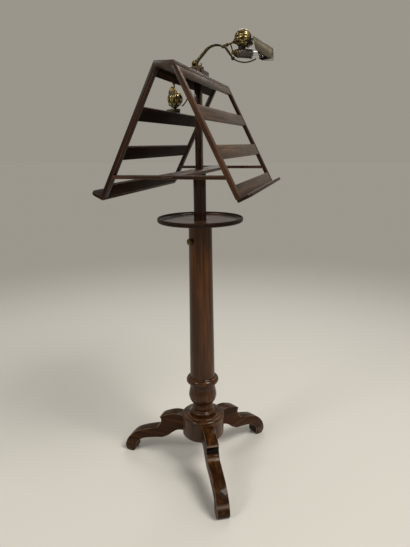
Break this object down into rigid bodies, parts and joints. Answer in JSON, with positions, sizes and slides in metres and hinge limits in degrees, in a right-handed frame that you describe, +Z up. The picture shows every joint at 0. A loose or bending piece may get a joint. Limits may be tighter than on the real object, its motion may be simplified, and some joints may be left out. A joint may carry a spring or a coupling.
{
  "type": "double lectern",
  "caption": "Free-standing duet music stand: two fixed slatted racks back to back, on a sliding post in a turned column with a tray and tripod feet, and two jointed brass lamps on top.",
  "frame": {"origin": "point on the floor under the column's axis", "axes": "+Z up along the column; +X along the racks' length, away from the picture's viewer; +Y towards the rack that the picture shows from behind"},
  "size_m": [0.624, 0.5447, 1.4625],
  "materials": {
    "black_holder": "black moulded holder",
    "brass_aged": "aged, polished on the high places",
    "brass_ball": "aged, polished on the high places",
    "bulb_glass": "clear",
    "shade_metal": "dull bronzed sheet",
    "wood_cross": "french polished dark mahogany",
    "wood_leg": "french polished dark mahogany",
    "wood_long": "french polished dark mahogany",
    "wood_post": "french polished dark mahogany",
    "wood_stile": "french polished dark mahogany",
    "wood_tray": "french polished dark mahogany",
    "wood_turned": "french polished dark mahogany"
  },
  "bodies": {
    "base": {"drum": "wood_turned", "base_disc": "wood_turned", "leg_front": "wood_leg", "leg_left": "wood_leg", "leg_right": "wood_leg", "column": "wood_turned", "tray": "wood_tray", "tray_screws": "brass_aged", "lock_insert": "brass_aged"},
    "knob": {"lock_knob": "brass_aged"},
    "bush": {"column_bush": "brass_aged"},
    "desk": {"round_post": "wood_post", "square_post": "wood_post", "bearer": "wood_long", "bearer_screws": "brass_aged", "stretcher_near": "wood_cross", "stretcher_far": "wood_cross", "top_board": "wood_long", "stile_right_near": "wood_stile", "stile_right_far": "wood_stile", "stile_left_near": "wood_stile", "stile_left_far": "wood_stile", "rail_top_right": "wood_long", "rail_top_left": "wood_long", "slat_upper_right": "wood_long", "slat_upper_left": "wood_long", "slat_lower_right": "wood_long", "slat_lower_left": "wood_long", "rail_low_right": "wood_long", "rail_low_left": "wood_long", "ledge_right": "wood_long", "ledge_left": "wood_long", "lamp_block": "wood_long", "lamp_feet": "brass_aged", "lamp_pivots": "brass_aged", "lamp_stays": "brass_aged"},
    "arm_right": {"arm_right": "brass_aged"},
    "yoke_right": {"knuckle_pin_right": "brass_aged", "yoke_right": "brass_aged", "pull_knob_right": "black_holder"},
    "head_right": {"head_rod_right": "brass_aged", "ball_right": "brass_ball", "cup_right": "brass_aged", "socket_right": "black_holder", "bulb_right": "bulb_glass"},
    "hood_right": {"collar_right": "brass_aged", "hood_right": "shade_metal"},
    "arm_left": {"arm_left": "brass_aged"},
    "yoke_left": {"knuckle_pin_left": "brass_aged", "yoke_left": "brass_aged", "pull_knob_left": "black_holder"},
    "head_left": {"head_rod_left": "brass_aged", "ball_left": "brass_ball", "cup_left": "brass_aged", "socket_left": "black_holder", "bulb_left": "bulb_glass"},
    "hood_left": {"collar_left": "brass_aged", "hood_left": "shade_metal"}
  },
  "joints": [
    {"name": "desk_turn", "type": "hinge", "parent": "base", "child": "bush", "pos_m": [0, 0, 0.88], "axis": [0, 0, 1], "continuous": true},
    {"name": "post_slide", "type": "slide", "parent": "bush", "child": "desk", "axis": [0, 0, 1], "range_m": [-0.12, 0.3]},
    {"name": "lock_knob_turn", "type": "hinge", "parent": "base", "child": "knob", "pos_m": [-0.03774, 0.02451, 0.841], "axis": [-0.8387, 0.5446, 0], "continuous": true},
    {"name": "lamp_arm_right", "type": "hinge", "parent": "desk", "child": "arm_right", "pos_m": [-0.045, -0.004, 1.3776], "axis": [-1, 0, 0], "range_deg": [-30, 35]},
    {"name": "lamp_knuckle_right", "type": "hinge", "parent": "arm_right", "child": "yoke_right", "pos_m": [-0.045, -0.08802, 1.41931], "axis": [-1, 0, 0], "range_deg": [-40, 40]},
    {"name": "lamp_head_right", "type": "hinge", "parent": "yoke_right", "child": "head_right", "pos_m": [-0.045, -0.08802, 1.41931], "axis": [0, -0.9553, 0.2957], "range_deg": [-170, 170]},
    {"name": "lamp_shade_right", "type": "hinge", "parent": "head_right", "child": "hood_right", "pos_m": [-0.045, -0.14696, 1.43755], "axis": [0, -0.8387, -0.5446], "range_deg": [-25, 25]},
    {"name": "lamp_arm_left", "type": "hinge", "parent": "desk", "child": "arm_left", "pos_m": [0.045, 0.004, 1.3776], "axis": [1, 0, 0], "range_deg": [0, 50]},
    {"name": "lamp_knuckle_left", "type": "hinge", "parent": "arm_left", "child": "yoke_left", "pos_m": [0.045, 0.09389, 1.35081], "axis": [1, 0, 0], "range_deg": [0, 60]},
    {"name": "lamp_head_left", "type": "hinge", "parent": "yoke_left", "child": "head_left", "pos_m": [0.045, 0.09389, 1.35081], "axis": [0, -0.0523, -0.9986], "range_deg": [-60, 8]},
    {"name": "lamp_shade_left", "type": "hinge", "parent": "head_left", "child": "hood_left", "pos_m": [0.045, 0.09066, 1.28919], "axis": [0.6654, 0.3501, -0.6593], "range_deg": [-25, 25]}
  ]
}
